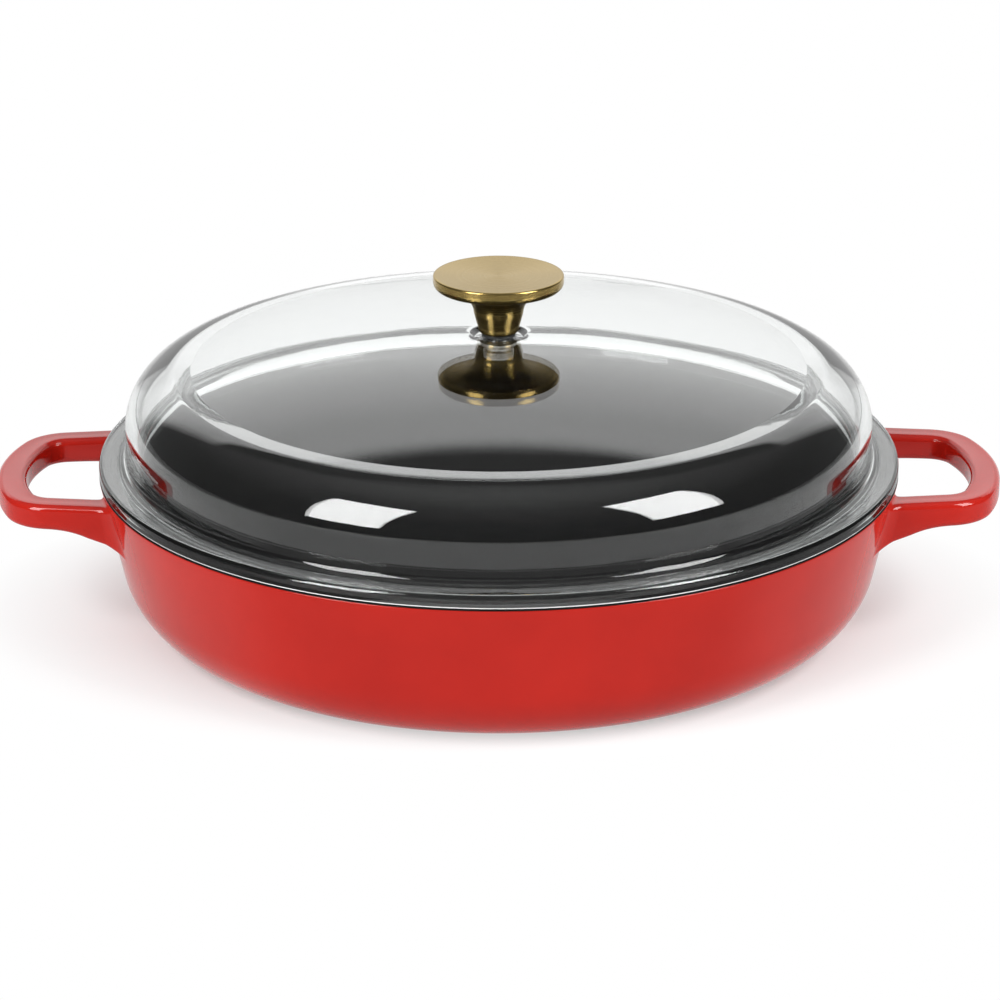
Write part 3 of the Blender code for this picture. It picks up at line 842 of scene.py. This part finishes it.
def clear_glass():
    material, tree, shader = new_finish("clear_glass")
    ripple = bump(tree, grain(tree, 120.0), 0.000002)
    spot = add(tree, "SeparateXYZ", {"Vector": place(tree)}).outputs
    # Painted highlight: the foot of the flange's outer edge turns pale and rough and lets little light
    # through, standing in for the thin white line of light along the rim.
    highlight_band_radius = RIM_RADIUS - HIGHLIGHT_BAND_DEPTH
    low = spread(tree, spot["Z"], 1.0, 0.0, HIGHLIGHT_BAND_TOP - HIGHLIGHT_BAND_FADE, HIGHLIGHT_BAND_TOP)
    outside = spread(tree, axis_distance(tree), 0.0, 1.0, highlight_band_radius - HIGHLIGHT_BAND_FADE, highlight_band_radius)
    painted_highlight = reckon(tree, "MULTIPLY", low, outside)
    fill(
        tree,
        shader,
        {
            "Base Color": (1.0, 1.0, 1.0, 1.0),
            "Roughness": spread(tree, painted_highlight, 0.0, HIGHLIGHT_BAND_ROUGH, 0.0, 1.0),
            "Transmission Weight": spread(tree, painted_highlight, 1.0, HIGHLIGHT_BAND_CLEAR, 0.0, 1.0),
            "IOR": GLASS_BEND,
            "Normal": ripple,
        },
    )
    tint = add(tree, "VolumeAbsorption", {"Color": GLASS_TINT, "Density": TINT_DENSITY})
    tree.links.new(tint.outputs["Volume"], tree.nodes["Material Output"].inputs["Volume"])
    return material


# %% [markdown]
# ### Brushed metals
#
# A brushed round piece was held against a belt while it turned, so its scratches run round the axis. Light
# then spreads across them, as a sheen over the knob's top and upright streaks on its neck. An anisotropic
# highlight with a tangent round Z does the spreading, and fine noise along the radius and the height draws
# the scratches themselves.


# %% Brushed metals
LINES_PER_METRE = 5200.0
LINE_DEPTH = 0.000004
ROUGH_SWING = 0.15  # how much the roughness differs from line to line


def turned_lines(tree, scale):
    """Noise that changes only with radius and height, so that it draws rings round the axis."""
    height = add(tree, "SeparateXYZ", {"Vector": place(tree)}).outputs["Z"]
    along = reckon(tree, "ADD", axis_distance(tree), height)
    sockets = {"W": along, "Scale": scale, "Detail": 3.0}
    return add(tree, "TexNoise", sockets, noise_dimensions="1D").outputs["Fac"]


def brushed_metal(name, dark, light, rough, stretch):
    material, tree, shader = new_finish(name)
    lines = turned_lines(tree, LINES_PER_METRE)
    across = add(tree, "Tangent", {}, direction_type="RADIAL", axis="Z").outputs["Tangent"]
    fill(
        tree,
        shader,
        {
            "Base Color": shade(tree, lines, dark, light),
            "Roughness": spread(tree, lines, rough * (1.0 - ROUGH_SWING), rough * (1.0 + ROUGH_SWING)),
            "Normal": bump(tree, lines, LINE_DEPTH),
            "Metallic": 1.0,
            "Anisotropic": stretch,
            "Anisotropic Rotation": 0.25,  # a quarter turn, from along the scratches to across them
            "Tangent": across,
        },
    )
    return material


# %% [markdown]
# ### Silicone
#
# Silicone rubber is nearly black and matt, with a fine grain from its mould. Little of it shows, so noise in
# its black, its dullness and one fine bump is enough.


# %% Silicone
def silicone():
    material, tree, shader = new_finish("silicone")
    dull = spread(tree, grain(tree, 300.0), 0.45, 0.6)
    black = shade(tree, grain(tree, 500.0), (0.018, 0.019, 0.018), (0.03, 0.031, 0.03))
    skin = bump(tree, grain(tree, 2500.0), 0.000005)
    fill(tree, shader, {"Base Color": black, "Roughness": dull, "Normal": skin})
    return material


# %% [markdown]
# ## Dress the frame
#
# Each piece now takes its finish, hides the solid that it stands for, and rides on the same body as that
# solid, so that the lid and all that is screwed to it lift together. The record knows the body of every
# solid, so that is looked up there and not typed again.

# %% Dress the frame
record = frame["record"]
body_of = {node: body for body, nodes in record["behaviour"]["bodies"].items() for node in nodes}


def dress(piece, node, finish):
    """Gives a piece its finish, body, solid and slot."""
    piece.data.materials.clear()
    piece.data.materials.append(finish)
    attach(piece, body_of[node])
    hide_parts(node)
    print(f"{piece.name} stands for {node} on {body_of[node]}, in {finish.name}")


gold = brushed_metal("brushed_gold", (0.33, 0.230, 0.069), (0.45, 0.328, 0.120), rough=0.24, stretch=0.7)
steel = brushed_metal("bright_steel", (0.50, 0.50, 0.49), (0.66, 0.66, 0.65), rough=0.24, stretch=0.5)
rubber = silicone()
for piece, node, finish in (
    (casting, "pan_casting", red_enamel()),
    (lining, "interior_enamel", black_enamel()),
    (glass_lid, "lid_glass", clear_glass()),
    (knob, "lid_knob", gold),
    (gasket, "knob_gasket", rubber),
    (grommet, "hole_grommet", rubber),
    (washer, "flat_washer", steel),
    (spring_washer, "lock_washer", steel),
    (screw, "knob_screw", steel),
):
    dress(piece, node, finish)

# %% [markdown]
# ## The floor
#
# The picture was taken on white. The floor is a pale diffuse sheet that takes the pan's shadow, lifted by a
# trace of glow. Outside an oval round the pan, where the shadow has run out, what the camera sees of it, bare
# or through the glass, is plain white. Mirrors see it otherwise: the dome shows a table that is dimmer in
# front of the pan, paler beside it and brightest behind it. Light that only bounces sees the sheet.

# %% The floor
FLOOR_SIZE = 8.0
FLOOR_PALE = 0.85
FLOOR_GLOW = 0.05
SHADOW_REACH = (0.135, 0.215)  # where it starts to fade to white and where it has gone
SHADOW_SQUASH = 1.45  # how much sooner it ends in front than at the sides
TABLE_LEVELS = (0.43, 0.6)  # of the dim table in front and of the paler one
TABLE_EDGE = 0.08  # how far in front of the middle one turns into the other
TABLE_BLUR = 0.02  # half the width of that turn
TABLE_SLANT = 0.31  # how much further forward it lies for each metre to the side
TABLE_BEHIND = 0.5  # how much brighter the table gets under the backdrop
TABLE_CLIMB = (0.15, 0.5)  # how far behind the middle that starts and ends
TABLE_WIDTH = 2.8
TABLE_FADE = 0.2  # width of its soft sides
TABLE_BEYOND = 0.1  # share of its brightness that is left beyond them


def looks(tree):
    """1 on rays from the camera, bare or through glass, until something throws them back."""
    rays = add(tree, "LightPath", {}).outputs
    return reckon(tree, "LESS_THAN", reckon(tree, "ADD", rays["Diffuse Depth"], rays["Glossy Depth"]), 0.5)


def mirrors(tree):
    """1 on rays that a glossy face sent out, and 0 on others."""
    rays = add(tree, "LightPath", {}).outputs
    sockets = {0: rays["Is Glossy Ray"], 1: rays["Is Transmission Ray"]}
    return add(tree, "Math", sockets, operation="SUBTRACT", use_clamp=True).outputs["Value"]


def table_level(tree):
    """How bright the table is in a mirror: dim in front, dark off its sides, brightest behind the pan."""
    spot = add(tree, "SeparateXYZ", {"Vector": place(tree)}).outputs
    side = reckon(tree, "ABSOLUTE", spot["X"])
    depth = reckon(tree, "ADD", reckon(tree, "MULTIPLY", side, TABLE_SLANT), spot["Y"])
    near = spread(tree, depth, *TABLE_LEVELS, -TABLE_EDGE - TABLE_BLUR, -TABLE_EDGE + TABLE_BLUR)
    behind = spread(tree, spot["Y"], 0.0, TABLE_BEHIND, *TABLE_CLIMB)
    on_table = spread(tree, side, 1.0, TABLE_BEYOND, TABLE_WIDTH / 2 - TABLE_FADE, TABLE_WIDTH / 2)
    return reckon(tree, "MULTIPLY", reckon(tree, "ADD", near, behind), on_table)


def make_floor():
    """A flat square that looks one way to the camera, another in mirrors and another to bounced light."""
    mesh = bpy.data.meshes.new("floor")
    bm = bmesh.new()
    bmesh.ops.create_grid(bm, x_segments=1, y_segments=1, size=FLOOR_SIZE / 2)
    bm.to_mesh(mesh)
    bm.free()
    floor = new_piece("floor", mesh)
    material, tree, _ = new_finish("white_sheet")
    tree.nodes.clear()
    oval = add(tree, "VectorMath", {0: place(tree), 1: (1.0, SHADOW_SQUASH, 1.0)}, operation="MULTIPLY")
    distance = add(tree, "VectorMath", {0: oval.outputs["Vector"]}, operation="LENGTH").outputs["Value"]
    far = spread(tree, distance, 0.0, 1.0, *SHADOW_REACH)
    sheet = add(tree, "BsdfDiffuse", {"Color": (FLOOR_PALE, FLOOR_PALE, FLOOR_PALE, 1.0)}).outputs["BSDF"]
    glow = add(tree, "Emission", {"Strength": FLOOR_GLOW}).outputs["Emission"]
    white = add(tree, "Emission", {"Strength": 1.0}).outputs["Emission"]
    lifted = add(tree, "AddShader", {0: sheet, 1: glow}).outputs["Shader"]
    shown = add(tree, "MixShader", {0: far, 1: lifted, 2: white}).outputs["Shader"]
    table = add(tree, "Emission", {"Strength": table_level(tree)}).outputs["Emission"]
    bare = add(tree, "MixShader", {0: looks(tree), 1: sheet, 2: shown}).outputs["Shader"]
    whole = add(tree, "MixShader", {0: mirrors(tree), 1: bare, 2: table}).outputs["Shader"]
    add(tree, "OutputMaterial", {"Surface": whole})
    mesh.materials.append(material)


make_floor()
print(f"floor {FLOOR_SIZE} m wide, plain white beyond {SHADOW_REACH[1]} m")

# %% [markdown]
# ## The room
#
# Glass shows the room that it stands in. Behind the pan hangs a white backdrop, brightest a little above the
# floor, which lies as a pale veil over the crown. It is only so wide and ends about forty degrees up. The
# rest of the room is dark and a little brighter overhead, which keeps the front of the dome clear. The
# world's colour is drawn from the direction of each ray: its height gives the level, and its angle to the
# side says whether it meets the backdrop or the dark room. Rays from the camera see plain white.

# %% The room
BACKDROP_HALF = 0.86  # half of its width, as the tangent of the angle to the side
BACKDROP_SHIFT = 0.05  # how far its middle is to the right
BACKDROP_BLUR = 0.1  # half the width of its soft edges
BEHIND_PAN = (0.0, 0.1)  # how far back a ray has to point before it meets the backdrop, and meets all of it
BACKDROP_FOOT = ((0.0, 0.9), (0.16, 0.92), (0.30, 1.0), (0.37, 1.6), (0.45, 1.35))
BACKDROP_HEAD = ((0.56, 1.15), (0.60, 1.25), (0.62, 1.2), (0.645, 0.12), (0.85, 0.15), (1.0, 0.5))
DARK_SIDE = ((0.0, 0.11), (0.5, 0.14), (0.85, 0.28), (1.0, 0.50))


def brightness(tree, height, stops):
    """A grey that follows stops of height and level."""
    ramp = add(tree, "ValToRGB", {"Fac": height})
    elements = ramp.color_ramp.elements
    while len(elements) < len(stops):
        elements.new(0.5)
    for stop, (position, level) in zip(elements, stops):
        stop.position = position
        stop.color = (level, level, level, 1.0)
    return ramp.outputs["Color"]


def make_room():
    """A world that is white to the camera, and a backdrop in a dark room to everything else."""
    world = bpy.data.worlds.new("room")
    bpy.context.scene.world = world
    world.use_nodes = True
    tree = world.node_tree
    tree.nodes.clear()
    ray = add(tree, "SeparateXYZ", {"Vector": add(tree, "TexCoord", {}).outputs["Generated"]}).outputs
    lean = reckon(tree, "DIVIDE", ray["X"], ray["Y"])
    aside = reckon(tree, "ABSOLUTE", reckon(tree, "SUBTRACT", lean, BACKDROP_SHIFT))
    edges = BACKDROP_HALF - BACKDROP_BLUR, BACKDROP_HALF + BACKDROP_BLUR
    on_backdrop = spread(tree, aside, 1.0, 0.0, *edges)
    behind = reckon(tree, "MULTIPLY", on_backdrop, spread(tree, ray["Y"], 0.0, 1.0, *BEHIND_PAN))
    backdrop = brightness(tree, ray["Z"], BACKDROP_FOOT + BACKDROP_HEAD)
    dark_side = brightness(tree, ray["Z"], DARK_SIDE)
    room = add(tree, "MixRGB", {"Fac": behind, "Color1": dark_side, "Color2": backdrop}).outputs["Color"]
    dim = add(tree, "Background", {"Color": room, "Strength": 1.0}).outputs["Background"]
    white = add(tree, "Background", {"Color": (1.0, 1.0, 1.0, 1.0), "Strength": 1.0}).outputs["Background"]
    whole = add(tree, "MixShader", {0: looks(tree), 1: dim, 2: white}).outputs["Shader"]
    add(tree, "OutputWorld", {"Surface": whole})


make_room()
print("room: backdrop behind, dark on the camera's side")

# %% [markdown]
# ## The lamps
#
# The dome gives the lamps away: two white panes on its front are softboxes to the left and right of the
# camera, taller than they are wide. Each is placed by its direction from the pan, as a photographer would say
# it, and is as large as it looks from there. So its width and height are angles too.

# %% The lamps
LAMP_TARGET = Vector((0.0, 0.0, PAN_HEIGHT))
LAMP_DISTANCE = 1.6
LAMP_RADIANCE = 11.5


def softbox(name, azimuth, elevation, width, height):
    """A rectangle of light, with all its angles in degrees. Azimuth runs to the right from the camera."""
    lamp = bpy.data.lights.new(name, "AREA")
    lamp.shape = "RECTANGLE"
    lamp.size = 2 * LAMP_DISTANCE * math.tan(math.radians(width / 2))
    lamp.size_y = 2 * LAMP_DISTANCE * math.tan(math.radians(height / 2))
    lamp.energy = LAMP_RADIANCE * math.pi * lamp.size * lamp.size_y
    turn, rise = math.radians(azimuth), math.radians(elevation)
    towards = Vector((math.sin(turn) * math.cos(rise), -math.cos(turn) * math.cos(rise), math.sin(rise)))
    obj = new_piece(name, lamp)
    obj.location = LAMP_TARGET + towards * LAMP_DISTANCE
    obj.rotation_euler = towards.to_track_quat("Z", "Y").to_euler()
    print(f"{name}: {lamp.size:.2f} x {lamp.size_y:.2f} m, {lamp.energy:.1f} W")


softbox("left_softbox", azimuth=-46.0, elevation=30.0, width=23.0, height=37.0)
softbox("right_softbox", azimuth=56.5, elevation=34.0, width=23.0, height=36.0)

# %% [markdown]
# ## The camera
#
# The picture was taken from about a metre and a half away and twenty degrees above the table, with a long
# lens. The camera looks at a point a little below the rim, which puts the pan where the picture has it.

# %% The camera
CAMERA_DISTANCE = 1.476
CAMERA_RISE = math.radians(19.9)
CAMERA_TURN = math.radians(-0.36)
CAMERA_ROLL = math.radians(-0.085)
CAMERA_CENTRE = Vector((0.0, 0.0, 0.0621))
CAMERA_AIM = Vector((0.0004, -0.0054, 0.0472))
FOCAL_LENGTH = 136.3
SENSOR_WIDTH = 36.0

camera = new_piece("camera", bpy.data.cameras.new("camera"))
camera.data.sensor_width = SENSOR_WIDTH
camera.data.lens = FOCAL_LENGTH
back = Vector((math.sin(CAMERA_TURN), -math.cos(CAMERA_TURN), math.tan(CAMERA_RISE))).normalized()
camera.location = CAMERA_CENTRE + back * CAMERA_DISTANCE
facing = (CAMERA_AIM - camera.location).to_track_quat("-Z", "Y").to_matrix()
camera.rotation_euler = (facing @ Matrix.Rotation(CAMERA_ROLL, 3, "Z")).to_euler()
bpy.context.scene.camera = camera
bpy.context.scene.view_settings.view_transform = "Standard"
print("camera at", [round(value, 3) for value in camera.location])
